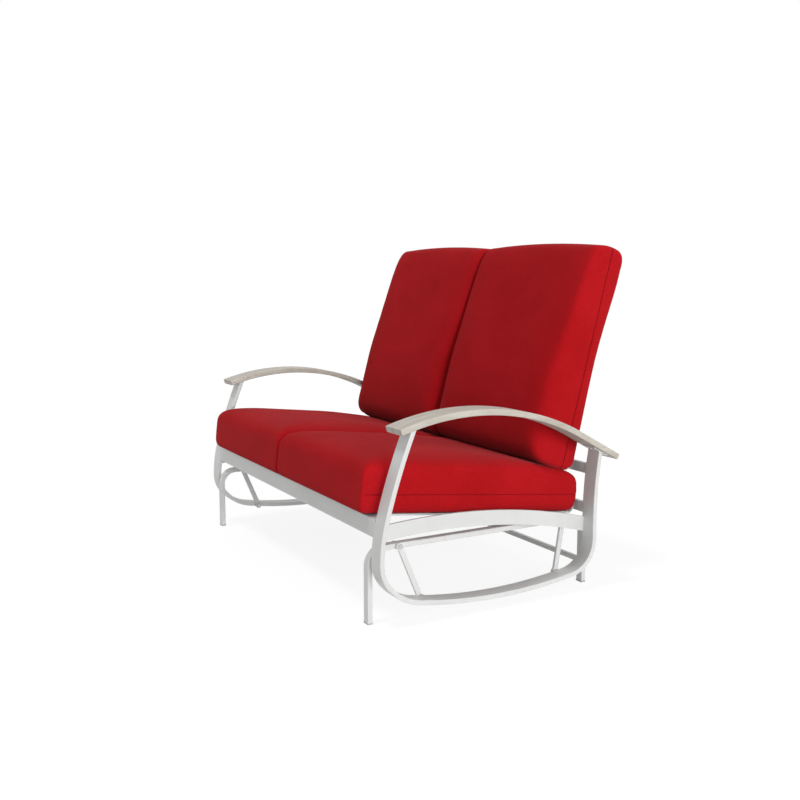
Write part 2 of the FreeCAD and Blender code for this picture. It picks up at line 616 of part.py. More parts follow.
# Pivots. From the middle outwards: bolt head, base tube, spacer, link end, side frame.
linkInner = "(baseOuterX + washerGap)"
linkOuter = "(baseOuterX + washerGap + bossLength)"
upperBolts, upperWashers, upperRings, lowerBolts, lowerWashers, nuts = [], [], [], [], [], []
for word, side in SIDES:
    for end, topY, topZ, lowY, lowZ in pivots:
        tag = word + end
        inner = "baseOuterX - baseTubeWidth"
        head = rod("upperHead" + tag, "boltHeadR", "boltHeadH",
                   fromX(side, inner + " - boltHeadH", "boltHeadH"), topY, topZ)
        reach = "baseTubeWidth + washerGap + bossLength + washerGap"
        shank = rod("upperShank" + tag, "pivotR", reach, fromX(side, inner, reach), topY, topZ)
        upperBolts.append(union("upperBolt" + tag, [head, shank]))
        disc = rod("upperDisc" + tag, "washerR", "washerGap", fromX(side, "baseOuterX", "washerGap"), topY, topZ)
        eye = rod("upperEye" + tag, "pivotR + pivotPlay", "washerGap + 2",
                  fromX(side, "baseOuterX - 1", "washerGap + 2"), topY, topZ)
        upperWashers.append(cut("upperWasher" + tag, disc, [eye]))
        cap = rod("ringDisc" + tag, "boltHeadR", "washerGap", fromX(side, linkOuter, "washerGap"), topY, topZ)
        capEye = rod("ringEye" + tag, "pivotR + pivotPlay", "washerGap + 2",
                     fromX(side, linkOuter + " - 1", "washerGap + 2"), topY, topZ)
        upperRings.append(cut("upperRing" + tag, cap, [capEye]))
        lowHead = rod("lowerHead" + tag, "boltHeadR", "boltHeadH",
                      fromX(side, linkInner + " - boltHeadH", "boltHeadH"), lowY, lowZ)
        lowReach = "(frameInnerX + frameWall + nutLength - %s)" % linkInner
        lowShank = rod("lowerShank" + tag, "pivotR", lowReach, fromX(side, linkInner, lowReach), lowY, lowZ)
        lowerBolts.append(union("lowerBolt" + tag, [lowHead, lowShank]))
        gap = "(frameInnerX - %s)" % linkOuter
        lowDisc = rod("lowerDisc" + tag, "washerR - 1.5", gap, fromX(side, linkOuter, gap), lowY, lowZ)
        lowEye = rod("lowerEye" + tag, "pivotR + pivotPlay", gap + " + 2",
                     fromX(side, linkOuter + " - 1", gap + " + 2"), lowY, lowZ)
        lowerWashers.append(cut("lowerWasher" + tag, lowDisc, [lowEye]))
        nutDisc = rod("nutDisc" + tag, "nutR", "nutLength",
                      fromX(side, "frameInnerX + frameWall", "nutLength"), lowY, lowZ)
        nutEye = rod("nutEye" + tag, "pivotR + pivotPlay", "nutLength + 2",
                     fromX(side, "frameInnerX + frameWall - 1", "nutLength + 2"), lowY, lowZ)
        nuts.append(cut("nut" + tag, nutDisc, [nutEye]))

        # One swing link: a flat bar between two bearing eyes, with a bearing in each.
        topPoint = (size(topY), size(topZ))
        lowPoint = (size(lowY), size(lowZ))
        span = math.hypot(lowPoint[0] - topPoint[0], lowPoint[1] - topPoint[1])
        lean = math.degrees(math.atan2(lowPoint[0] - topPoint[0], topPoint[1] - lowPoint[1]))
        bar = doc.addObject("Part::Box", "bar" + tag)
        bind(bar, Length="linkThick", Width="linkWidth")
        bar.setExpression("Height", bound("sqrt(pow(%s - %s; 2) + pow(%s - %s; 2))" % (lowY, topY, lowZ, topZ))
                          .replace("Dimensions.sqrt", "sqrt").replace("Dimensions.pow", "pow"))
        halfWidth = size("linkWidth") / 2
        turn = math.radians(lean)
        corner = (lowPoint[0] - halfWidth * math.cos(turn), lowPoint[1] - halfWidth * math.sin(turn))
        bar.Placement = FreeCAD.Placement(FreeCAD.Vector(0, corner[0] - size("originY"), corner[1]),
                                          FreeCAD.Rotation(X_AXIS, lean))
        bind(bar, Placement_Base_x=fromX(side, linkInner + " + (bossLength - linkThick) / 2", "linkThick"))
        topBoss = rod("topBoss" + tag, "bossR", "bossLength", fromX(side, linkInner, "bossLength"), topY, topZ)
        lowBoss = rod("lowBoss" + tag, "bossR", "bossLength", fromX(side, linkInner, "bossLength"), lowY, lowZ)
        topSeat = rod("topSeat" + tag, "bearingR", "bossLength + 2",
                      fromX(side, linkInner + " - 1", "bossLength + 2"), topY, topZ)
        lowSeat = rod("lowSeat" + tag, "bearingR", "bossLength + 2",
                      fromX(side, linkInner + " - 1", "bossLength + 2"), lowY, lowZ)
        solid = union("linkSolid" + tag, [bar, topBoss, lowBoss])
        finish(cut("linkCut" + tag, solid, [topSeat, lowSeat]), "link_%s_%s" % (end, word))
        lowPlay = "openPlay" if end == "rear" else "pivotPlay"
        rings = []
        for spot, ringY, ringZ, play in (("Top", topY, topZ, "pivotPlay"), ("Low", lowY, lowZ, lowPlay)):
            ring = rod("ring%s%s" % (spot, tag), "bearingR", "bossLength",
                       fromX(side, linkInner, "bossLength"), ringY, ringZ)
            bore = rod("bore%s%s" % (spot, tag), "pivotR + " + play, "bossLength + 2",
                       fromX(side, linkInner + " - 1", "bossLength + 2"), ringY, ringZ)
            rings.append(cut("bearing%s%s" % (spot, tag), ring, [bore]))
        finish(group("bearings" + tag, rings), "bearings_%s_%s" % (end, word))
finish(group("upperBoltGroup", upperBolts), "upper_pivot_bolts")
finish(group("upperWasherGroup", upperWashers), "upper_pivot_spacers")
finish(group("upperRingGroup", upperRings), "upper_pivot_rings")
finish(group("lowerBoltGroup", lowerBolts), "lower_pivot_bolts")
finish(group("lowerWasherGroup", lowerWashers), "lower_pivot_spacers")
finish(group("nutGroup", nuts), "lower_pivot_inserts")

# Seat: the front rail stops just under the cushions, on their line.
seatFall = "tan(seatPitch * 1 deg)"
railTop = "(seatLineZ - %s * (railFrontY + railDepth) - softGap)" % seatFall
tubeX("seat_front_rail", "railFrontY", "railBottomZ", "railDepth", railTop + " - railBottomZ",
      "frameInnerX", "railWall")
tubeX("lower_cross_rail", "lowerCrossY", "lowerCrossZ", "crossDepth", "lowerCrossH", "frameInnerX", "railWall")
tubeX("upper_cross_rail", "upperCrossY", "upperCrossZ", "crossDepth", "upperCrossH", "frameInnerX", "railWall")


def crossing(circle, path):
    # Where a circle crosses a path of sketch edges.
    for edge in path:
        hit = circle.distToShape(edge.toShape())
        if hit[0] < 0.001:
            return (hit[1][0][0].x, hit[1][0][0].y)
    raise ValueError("the side rail misses an upright")


def sideRailProfile():
    # A flat bar on edge, bowed like the seat, cut where it meets the two uprights.
    start = (size("frontTopY"), size("frontTopZ"))
    inner = walk(start, tubeRun(), size("frameTubeDepth"))[0]
    frontEdges, rearEdges = inner[:2], inner[6:]
    centre = (size("sideRailCrownY"), size("sideRailCrownZ") - size("sideRailRadius"))
    corners = []
    for radius in (size("sideRailRadius"), size("sideRailRadius") - size("sideRailH")):
        circle = Part.Circle(flat(*centre), FreeCAD.Vector(0, 0, 1), radius).toShape()
        corners.append([crossing(circle, frontEdges), crossing(circle, rearEdges)])
    (topFront, topRear), (lowFront, lowRear) = corners

    def turn(point):
        return math.degrees(math.atan2(point[1] - centre[1], point[0] - centre[0]))

    return [
        bend(centre, size("sideRailRadius"), turn(topRear), turn(topFront)),
        segment(topFront, lowFront),
        bend(centre, size("sideRailRadius") - size("sideRailH"), turn(lowRear), turn(lowFront)),
        segment(lowRear, topRear),
    ]


for word, side in SIDES:
    rail = profileBody("seat_side_rail_" + word, sideRailProfile(),
                       fromX(side, "frameInnerX", "sideRailThick"), "sideRailThick")
    finish(rail, "seat_side_rail_" + word)


def slatProfile():
    # From the back of the front rail down the seat's line, then up the lower cross rail.
    fall = math.radians(size("seatPitch"))
    thick, radius = size("slatThick"), size("slatBend")
    frontY = size("railFrontY") + size("railDepth")
    backY = size("lowerCrossY")

    def line(y, drop):
        return size("seatLineZ") - size("softGap") / math.cos(fall) - math.tan(fall) * y - drop / math.cos(fall)

    # Centre of the bend: radius above the top line and radius in front of the upturn.
    centreY = backY - thick - radius
    centreZ = line(centreY, 0) + radius / math.cos(fall)
    lowAngle = 270 - size("seatPitch")
    inner = (centreY + radius * math.cos(math.radians(lowAngle)), centreZ + radius * math.sin(math.radians(lowAngle)))
    outer = (centreY + (radius + thick) * math.cos(math.radians(lowAngle)),
             centreZ + (radius + thick) * math.sin(math.radians(lowAngle)))
    top = size("slatTopZ")
    return [
        segment((frontY, line(frontY, 0)), inner),
        bend((centreY, centreZ), radius, lowAngle, 360),
        segment((backY - thick, centreZ), (backY - thick, top)),
        segment((backY - thick, top), (backY, top)),
        segment((backY, top), (backY, centreZ)),
        bend((centreY, centreZ), radius + thick, lowAngle, 360),
        segment(outer, (frontY, line(frontY, thick))),
        segment((frontY, line(frontY, thick)), (frontY, line(frontY, 0))),
    ]


slatNumber = 0
for side in (-1, 1):
    for step in range(4):
        slatNumber += 1
        middle = "%d * (slatInnerX + (slatOuterX - slatInnerX) * %d / 3) - slatWidth / 2" % (side, step)
        slat = profileBody("seat_slat_%d" % slatNumber, slatProfile(), middle, "slatWidth")
        finish(slat, "seat_slat_%d" % slatNumber)

# A tie between the two cross rails at the middle, cut to the lean between them.
tieBody = profileBody("cross_rail_tie", [
    segment((size("lowerCrossY"), size("lowerCrossZ") + size("lowerCrossH")),
            (size("lowerCrossY") + size("crossDepth"), size("lowerCrossZ") + size("lowerCrossH"))),
    segment((size("lowerCrossY") + size("crossDepth"), size("lowerCrossZ") + size("lowerCrossH")),
            (size("upperCrossY") + size("crossDepth"), size("upperCrossZ"))),
    segment((size("upperCrossY") + size("crossDepth"), size("upperCrossZ")),
            (size("upperCrossY"), size("upperCrossZ"))),
    segment((size("upperCrossY"), size("upperCrossZ")),
            (size("lowerCrossY"), size("lowerCrossZ") + size("lowerCrossH"))),
], "-tieWidth / 2", "tieWidth")
finish(tieBody, "cross_rail_tie")


def leaning(obj, x, back, up):
    # Sets a piece in the leaning plane of the back: back behind its front, up along it.
    obj.Placement = FreeCAD.Placement(FreeCAD.Vector(), FreeCAD.Rotation(X_AXIS, -size("backLean")))
    sine, cosine = "sin(backLean * 1 deg)", "cos(backLean * 1 deg)"
    bind(obj, Placement_Base_x=x,
         Placement_Base_y="backPlaneY - originY + (%s) * %s + (%s) * %s" % (back, cosine, up, sine),
         Placement_Base_z="backPlaneZ - (%s) * %s + (%s) * %s" % (back, sine, up, cosine))
    obj.setExpression("Placement.Rotation.Angle", bound("backLean * 1 deg"))
    obj.Placement.Rotation.Axis = FreeCAD.Vector(-1, 0, 0)
    return obj


def leanBox(name, x, back, up, length, depth, height):
    made = doc.addObject("Part::Box", name)
    bind(made, Length=length, Width=depth, Height=height)
    return leaning(made, x, back, up)


def leanTube(label, x, back, up, length, depth, height, along):
    # A hollow tube of the back frame, bored along its own axis.
    outer = leanBox(label + "Outer", x, back, up, length, depth, height)
    wall = "railWall"
    if along == "x":
        bore = leanBox(label + "Bore", "(%s) - 1" % x, "(%s) + %s" % (back, wall), "(%s) + %s" % (up, wall),
                       "(%s) + 2" % length, "(%s) - 2 * %s" % (depth, wall), "(%s) - 2 * %s" % (height, wall))
    else:
        bore = leanBox(label + "Bore", "(%s) + %s" % (x, wall), "(%s) + %s" % (back, wall), "(%s) - 1" % up,
                       "(%s) - 2 * %s" % (length, wall), "(%s) - 2 * %s" % (depth, wall), "(%s) + 2" % height)
    return finish(cut(label + "Cut", rounded(outer), [bore]), label)


# Back frame: two outer posts under a top bar, a bottom bar, a centre post and flat slats.
postRun = "(postHigh - postLow)"
leanTube("back_post_left", "-postOuterX", "0", "postLow", "postWidth", "postDepth", postRun, "z")
leanTube("back_post_right", "postOuterX - postWidth", "0", "postLow", "postWidth", "postDepth", postRun, "z")
leanTube("back_post_centre", "-postWidth / 2", "0", "bottomBarS + backBarH", "postWidth", "postDepth",
         "postHigh - bottomBarS - backBarH", "z")
leanTube("back_top_bar", "-postOuterX", "0", "postHigh", "2 * postOuterX", "postDepth", "backBarH", "x")
leanTube("back_bottom_bar", "-(postOuterX - postWidth)", "0", "bottomBarS", "2 * (postOuterX - postWidth)",
         "postDepth", "backBarH", "x")
halfBay = "(postOuterX - postWidth - postWidth / 2)"
slatNumber = 0
for side in (-1, 1):
    for step in (1, 2):
        slatNumber += 1
        label = "back_slat_%d" % slatNumber
        middle = "%d * (postWidth / 2 + %s * %d / 3) - backSlatWidth / 2" % (side, halfBay, step)
        slat = leanBox(label + "Bar", middle, "0", "bottomBarS + backBarH", "backSlatWidth", "backSlatThick",
                       "postHigh - bottomBarS - backBarH")
        finish(slat, label)


def bracketProfile(stub):
    # The wedge between a leaning post and the upright face of the upper cross rail. With a
    # stub it also stands in for the foot of the centre post, below the bottom bar.
    lean = math.radians(size("backLean"))
    face = size("upperCrossY")

    def rear(z):
        return (size("backPlaneY") + size("postDepth") / math.cos(lean)
                + (z - size("backPlaneZ")) * math.tan(lean))

    touch = size("backPlaneZ") + (face - rear(size("backPlaneZ"))) / math.tan(lean)
    high = min(touch, size("upperCrossZ") + size("upperCrossH")) - 0.5
    low = size("upperCrossZ") + 1.5
    corners = [(rear(low), low), (face, low), (face, high), (rear(high), high)]
    if stub:
        corners += [leanPoint(size("postDepth"), size("bottomBarS")), leanPoint(0, size("bottomBarS")),
                    leanPoint(0, size("postLow")), leanPoint(size("postDepth"), size("postLow"))]
    return [segment(corners[n], corners[(n + 1) % len(corners)]) for n in range(len(corners))]


def leanPoint(back, up):
    # Side view position of a point in the leaning frame of the back.
    lean = math.radians(size("backLean"))
    return (size("backPlaneY") + back * math.cos(lean) + up * math.sin(lean),
            size("backPlaneZ") - back * math.sin(lean) + up * math.cos(lean))


for word, start in (("left", "-postOuterX"), ("centre", "-postWidth / 2"), ("right", "postOuterX - postWidth")):
    bracket = profileBody("back_bracket_" + word, bracketProfile(word == "centre"), start, "postWidth")
    finish(bracket, "back_bracket_" + word)


def outline(name, level, low, high, inset, corner, stretch, arch):
    # A rounded rectangle across a cushion at one level; corner rounds its high end, which
    # rises by arch in its middle.
    lowRadius = size("cushionCorner") + 0.2 * inset * stretch
    highRadius = max(corner, lowRadius)
    half = size("cushionWidth") / 2
    w = half - inset
    across = w - highRadius
    cornerY, turn = high - highRadius, 90
    bow = 0
    if arch > 0:
        # the corners run into the arc of the bow without a kink
        bow = (half ** 2 + arch ** 2) / (2 * arch)
        rise = math.sqrt((bow - highRadius) ** 2 - across ** 2)
        cornerY = high - bow + rise
        turn = math.degrees(math.atan2(rise, across))
    sketch = doc.addObject("Sketcher::SketchObject", name)
    sketch.addGeometry(bend((across, cornerY), highRadius, 0, turn), False)
    sketch.addGeometry(bend((-across, cornerY), highRadius, 180 - turn, 180), False)
    sketch.addGeometry(bend((lowRadius - w, low + lowRadius), lowRadius, 180, 270), False)
    sketch.addGeometry(bend((w - lowRadius, low + lowRadius), lowRadius, 270, 360), False)
    if bow:
        sketch.addGeometry(bend((0, high - bow), bow, turn, 180 - turn), False)
    else:
        sketch.addGeometry(segment((across, high), (-across, high)), False)
    sketch.addGeometry(segment((-w, cornerY), (-w, low + lowRadius)), False)
    sketch.addGeometry(segment((lowRadius - w, low), (w - lowRadius, low)), False)
    sketch.addGeometry(segment((w, low + lowRadius), (w, cornerY)), False)
    sketch.Placement.Base = FreeCAD.Vector(0, 0, level)
    return sketch


def cushion(label, length, drawn, shells, arch, x, y, z, tilt):
    # Lofted shells stacked from the underside up; the two middle ones meet in the seam.
    # Each level is (height, gap at the low end, gap at the high end, gap at the sides,
    # corner radius at the high end). What lies along the cushion was read from one of
    # length drawn, and stretches with it.
    lofts = []
    stretch = length / drawn
    for number, levels in enumerate(shells):
        loft = doc.addObject("Part::Loft", "%sShell%d" % (label, number))
        loft.Sections = [outline("%s%d_%d" % (label, number, n), level, low * stretch,
                                 length - high * stretch, inset, corner * stretch, stretch, arch)
                         for n, (level, low, high, inset, corner) in enumerate(levels)]
        loft.Solid = True
        loft.Ruled = False
        lofts.append(loft)
    body = union(label + "Body", lofts)
    body.Placement = FreeCAD.Placement(FreeCAD.Vector(), FreeCAD.Rotation(X_AXIS, tilt))
    return finish(place(body, x, y, z), label)


# Seat cushions lie on the slats; back cushions stand on them and lean on the posts.
seam = size("seamInset")
seatSeam, seatTop = size("seatSeamHeight"), size("seatCushionThick")
seatShells = [
    [(0, 20, 24, 24, 0), (2, 11, 15, 13, 0), (8, 4, 8, 5, 0), (20, 1, 3, 1, 0),
     (seatSeam - 7, 0, 0, 0, 0), (seatSeam, seam, seam, seam, 0)],
    [(seatSeam, seam, seam, seam, 0), (seatSeam + 7, 0, 0, 0, 0), (seatTop - 64, 0.5, 6, 0.5, 18),
     (seatTop - 52, 3, 13, 2.5, 22), (seatTop - 42, 8, 32, 7, 26), (seatTop - 33, 15, 68, 14, 32)],
    [(seatTop - 33, 15, 68, 14, 32), (seatTop - 23, 28, 132, 30, 40), (seatTop - 14, 55, 222, 58, 50),
     (seatTop - 6, 100, 310, 100, 50), (seatTop, 180, 425, 170, 45)],
]
backSeam, backTop = size("backSeamHeight"), size("backCushionThick")
backShells = [
    [(0, 26, 30, 38, 24), (3, 14, 17, 19, 21), (10, 6, 7, 8, 18), (22, 2, 2, 2, 16),
     (backSeam - 7, 0, 0, 0, 16), (backSeam, seam, seam, seam, 16)],
    [(backSeam, seam, seam, seam, 16), (backSeam + 7, 1.2, 0, 0, 16), (backTop - 85, 2.8, 5, 0.5, 20),
     (backTop - 65, 4.4, 14, 2, 30), (backTop - 50, 6.8, 36, 4, 55), (backTop - 39, 10.5, 82, 7, 95)],
    [(backTop - 39, 10.5, 82, 7, 95), (backTop - 29, 17, 165, 10.5, 145), (backTop - 19, 28, 245, 16, 148),
     (backTop - 9, 50, 325, 32, 120)],
    [(backTop - 9, 50, 325, 32, 120), (backTop - 3, 88, 385, 65, 80), (backTop, 145, 425, 120, 48)],
]
for word, side in SIDES:
    middle = "%d * (cushionWidth / 2 + cushionGap)" % side
    cushion("seat_cushion_" + word, size("seatCushionLength"), 722, seatShells, 0, middle,
            "seatFrontY - originY", "seatLineZ - %s * seatFrontY" % seatFall, -size("seatPitch"))
    backLow = "backCushionLow"
    sine, cosine = "sin(backLean * 1 deg)", "cos(backLean * 1 deg)"
    cushion("back_cushion_" + word, size("backCushionLength"), 676.5, backShells, size("backTopArch"), middle,
            "backPlaneY - originY + %s * %s - softGap * %s" % (backLow, sine, cosine),
            "backPlaneZ + %s * %s + softGap * %s" % (backLow, cosine, sine), 90 - size("backLean"))

doc.recompute()

os.makedirs("parts", exist_ok=True)
for obj in doc.Objects:
    state = " ".join(obj.State)
    if "Invalid" in state or "Error" in state:
        raise ValueError("%s is %s" % (obj.Name, state))
for obj in finished:
    shape = obj.Shape
    if shape.isNull() or not shape.isValid() or not shape.Solids:
        raise ValueError("bad shape: " + obj.Label)
    shape.exportStep("parts/%s.step" % obj.Label)
print("pieces", len(finished))
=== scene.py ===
import bpy
import bmesh
import math
from mathutils import Matrix, Vector
from mathutils.bvhtree import BVHTree


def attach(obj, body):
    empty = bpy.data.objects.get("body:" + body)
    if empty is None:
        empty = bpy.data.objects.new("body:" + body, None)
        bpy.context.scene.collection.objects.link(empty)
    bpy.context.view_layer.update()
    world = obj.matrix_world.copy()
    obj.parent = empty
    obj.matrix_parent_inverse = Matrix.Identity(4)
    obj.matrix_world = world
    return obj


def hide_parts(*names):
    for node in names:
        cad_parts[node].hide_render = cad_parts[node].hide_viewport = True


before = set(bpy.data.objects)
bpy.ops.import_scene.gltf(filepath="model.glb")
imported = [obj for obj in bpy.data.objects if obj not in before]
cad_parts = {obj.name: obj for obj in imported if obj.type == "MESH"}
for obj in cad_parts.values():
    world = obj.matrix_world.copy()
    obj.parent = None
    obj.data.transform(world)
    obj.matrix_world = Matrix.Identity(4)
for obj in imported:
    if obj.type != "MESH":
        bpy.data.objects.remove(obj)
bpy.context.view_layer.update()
print("frame loaded:", len(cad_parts), "nodes")

mm = 0.001    # metres in a millimetre


def addObject(name, data):
    thing = bpy.data.objects.new(name, data)
    bpy.context.scene.collection.objects.link(thing)
    return thing


# Camera: where the photograph was taken from
cameraView = {
    "place": (2.7577, -1.5608, 0.9267),
    "azimuth": 60.48,      # degrees to the right of straight ahead
    "elevation": 7.63,     # degrees above the seat
    "lens": 43.6,          # mm
    "sensor": 36,          # mm
    "clip": (0.05, 200),
}

cameraData = bpy.data.cameras.new("photoCamera")
cameraData.lens = cameraView["lens"]
cameraData.sensor_width = cameraView["sensor"]
cameraData.clip_start, cameraData.clip_end = cameraView["clip"]
camera = addObject("photoCamera", cameraData)
camera.location = cameraView["place"]
camera.rotation_euler = (math.radians(90 - cameraView["elevation"]), 0,
                         math.radians(cameraView["azimuth"]))
bpy.context.scene.camera = camera
bpy.context.scene.view_settings.view_transform = "Standard"
print("camera placed")


# Small helpers for node trees

def addNode(tree, kind, x=0, y=0, **settings):
    node = tree.nodes.new(kind)
    node.location = (x, y)
    for name, value in settings.items():
        setattr(node, name, value)
    return node


def join(tree, source, target):
    tree.links.new(source, target)


def setInputs(node, **values):
    # An underscore stands for the space in a socket's name
    for label, value in values.items():
        node.inputs[label.replace("_", " ")].default_value = value


def mathNode(tree, operation, first, second=None, x=0, y=0, third=None):
    node = addNode(tree, "ShaderNodeMath", x, y, operation=operation)
    for socket, value in zip(node.inputs, (first, second, third)):
        if value is None:
            continue
        if isinstance(value, (int, float)):
            socket.default_value = value
        else:
            join(tree, value, socket)
    return node.outputs[0]


def startGroup(name, inputs, outputs):
    group = bpy.data.node_groups.new(name, "ShaderNodeTree")
    for label, kind, value in inputs:
        socket = group.interface.new_socket(label, in_out="INPUT", socket_type=kind)
        if value is not None:
            socket.default_value = value
    for label, kind in outputs:
        group.interface.new_socket(label, in_out="OUTPUT", socket_type=kind)
    return group, addNode(group, "NodeGroupInput", -900), addNode(group, "NodeGroupOutput", 900)


def useGroup(tree, group, x=0, y=0, **values):
    node = addNode(tree, "ShaderNodeGroup", x, y, node_tree=group)
    for label, value in values.items():
        socket = node.inputs[label]
        if hasattr(value, "is_output"):
            join(tree, value, socket)
        else:
            socket.default_value = value
    return node


def startMaterial(name):
    material = bpy.data.materials.new(name)
    material.use_nodes = True
    tree = material.node_tree
    tree.nodes.clear()
    output = addNode(tree, "ShaderNodeOutputMaterial", 600)
    shader = addNode(tree, "ShaderNodeBsdfPrincipled", 300)
    join(tree, shader.outputs[0], output.inputs[0])
    return material, tree, shader


# Effects that several materials share

def makeToneGroup():
    # Slow drift between two colours, with a finer cloud on top
    group, entry, leave = startGroup("toneDrift", [
        ("Place", "NodeSocketVector", None),
        ("Dark", "NodeSocketColor", (0.5, 0.5, 0.5, 1)),
        ("Light", "NodeSocketColor", (0.6, 0.6, 0.6, 1)),
        ("Scale", "NodeSocketFloat", 4.0),
    ], [("Color", "NodeSocketColor"), ("Drift", "NodeSocketFloat")])
    broad = addNode(group, "ShaderNodeTexNoise", -600, 200)
    setInputs(broad, Detail=2)
    fine = addNode(group, "ShaderNodeTexNoise", -600, -100)
    setInputs(fine, Detail=4)
    fineScale = mathNode(group, "MULTIPLY", entry.outputs["Scale"], 9.0, -800, -200)
    for texture, scale in ((broad, entry.outputs["Scale"]), (fine, fineScale)):
        join(group, entry.outputs["Place"], texture.inputs["Vector"])
        join(group, scale, texture.inputs["Scale"])
    cloud = 0.35    # share of the finer cloud
    mixed = mathNode(group, "MULTIPLY_ADD", fine.outputs["Fac"], cloud, -450, 0, broad.outputs["Fac"])
    centred = mathNode(group, "SUBTRACT", mixed, cloud / 2, -380, -60)
    drift = addNode(group, "ShaderNodeMapRange", -300, 100)
    setInputs(drift, From_Min=0.35, From_Max=0.65)
    join(group, centred, drift.inputs["Value"])
    blend = addNode(group, "ShaderNodeMix", 200, 100, data_type="RGBA")
    join(group, drift.outputs["Result"], blend.inputs["Factor"])
    join(group, entry.outputs["Dark"], blend.inputs[6])
    join(group, entry.outputs["Light"], blend.inputs[7])
    join(group, blend.outputs[2], leave.inputs["Color"])
    join(group, drift.outputs["Result"], leave.inputs["Drift"])
    return group


def makeGritGroup():
    # Fine surface relief: a normal from two sizes of noise
    group, entry, leave = startGroup("fineGrit", [
        ("Place", "NodeSocketVector", None),
        ("Scale", "NodeSocketFloat", 800.0),
        ("Strength", "NodeSocketFloat", 0.1),
        ("Depth", "NodeSocketFloat", 0.0003),
    ], [("Normal", "NodeSocketVector"), ("Grit", "NodeSocketFloat")])
    small = addNode(group, "ShaderNodeTexNoise", -500, 100)
    setInputs(small, Detail=3)
    large = addNode(group, "ShaderNodeTexNoise", -500, -150)
    setInputs(large, Detail=1)
    largeScale = mathNode(group, "MULTIPLY", entry.outputs["Scale"], 0.22, -700, -200)
    for texture, scale in ((small, entry.outputs["Scale"]), (large, largeScale)):
        join(group, entry.outputs["Place"], texture.inputs["Vector"])
        join(group, scale, texture.inputs["Scale"])
    total = mathNode(group, "ADD", small.outputs["Fac"], large.outputs["Fac"], -250, 0)
    bump = addNode(group, "ShaderNodeBump", 200, 0)
    join(group, total, bump.inputs["Height"])
    join(group, entry.outputs["Strength"], bump.inputs["Strength"])
    join(group, entry.outputs["Depth"], bump.inputs["Distance"])
    join(group, bump.outputs["Normal"], leave.inputs["Normal"])
    join(group, small.outputs["Fac"], leave.inputs["Grit"])
    return group


def makeWeaveGroup():
    # Plain weave that lies in whichever plane the cloth faces
    group, entry, leave = startGroup("plainWeave", [
        ("Place", "NodeSocketVector", None),
        ("Facing", "NodeSocketVector", None),
        ("Threads", "NodeSocketFloat", 900.0),
    ], [("Height", "NodeSocketFloat"), ("Slub", "NodeSocketFloat")])
    split = addNode(group, "ShaderNodeSeparateXYZ", -700, 100)
    weight = addNode(group, "ShaderNodeSeparateXYZ", -700, -200)
    join(group, entry.outputs["Place"], split.inputs[0])
    join(group, entry.outputs["Facing"], weight.inputs[0])
    turns = mathNode(group, "MULTIPLY", entry.outputs["Threads"], math.pi, -800, 300)
    waves = []
    for number in range(3):
        angle = mathNode(group, "MULTIPLY", split.outputs[number], turns, -500, 200 - 150 * number)
        waves.append(mathNode(group, "SINE", angle, None, -350, 200 - 150 * number))
    total = None
    for number in range(3):
        first, second = waves[(number + 1) % 3], waves[(number + 2) % 3]
        crossed = mathNode(group, "MULTIPLY", first, second, -150, 200 - 150 * number)
        part = mathNode(group, "MULTIPLY", crossed, weight.outputs[number], 0, 200 - 150 * number)
        total = part if total is None else mathNode(group, "ADD", total, part, 150, 100)
    join(group, total, leave.inputs["Height"])
    slub = addNode(group, "ShaderNodeTexNoise", -300, -400)
    setInputs(slub, Scale=260, Detail=3)
    join(group, entry.outputs["Place"], slub.inputs["Vector"])
    join(group, slub.outputs["Fac"], leave.inputs["Slub"])
    return group


toneDrift = makeToneGroup()
fineGrit = makeGritGroup()
plainWeave = makeWeaveGroup()
print("shared effects made")


# Finishes

powderCoat = {
    "dark": (0.745, 0.751, 0.740),
    "light": (0.795, 0.801, 0.790),
    "roughness": 0.38, "specular": 1.0, "grit": 900.0, "gritStrength": 0.12,
}
armBoard = {
    "dark": (0.50, 0.450, 0.385),
    "light": (0.68, 0.635, 0.565),
    "pore": (0.36, 0.31, 0.25),
    "roughness": 0.55,
    "streaks": (70, 3.2, 22),    # how close the grain is across, along and through the board
    "pores": (520, 34, 200),
    "poreShare": 0.45,
    "relief": 0.35,
    "reliefDepth": 0.0006,
}
redCloth = {
    "dark": (0.470, 0.0085, 0.0120),
    "light": (0.530, 0.0105, 0.0155),
    "roughness": 0.80,
    "sheen": 0.055,
    "sheenRoughness": 0.45,
    "specular": 0.01,
    "threads": 1100.0,
    "slubs": (0.90, 1.06),    # darkest and lightest of the thick threads
    "relief": 0.30,
    "reliefDepth": 0.0004,
    "thrown": (0.13, 0.095, 0.095),    # what it throws onto the pale frame
    "thrownShare": 0.9,
}
paleNylon = {
    "dark": (0.50, 0.50, 0.49),
    "light": (0.58, 0.58, 0.57),
    "roughness": 0.5, "grit": 500.0, "gritStrength": 0.12,
}
greyNylon = {
    "dark": (0.20, 0.20, 0.20),
    "light": (0.26, 0.26, 0.26),
    "roughness": 0.5, "grit": 500.0, "gritStrength": 0.12,
}
zincPlate = {
    "dark": (0.42, 0.42, 0.43),
    "light": (0.56, 0.56, 0.57),
    "roughness": 0.34, "metallic": 1.0, "grit": 1500.0, "gritStrength": 0.08,
}


def paint(color):
    return (*color, 1)


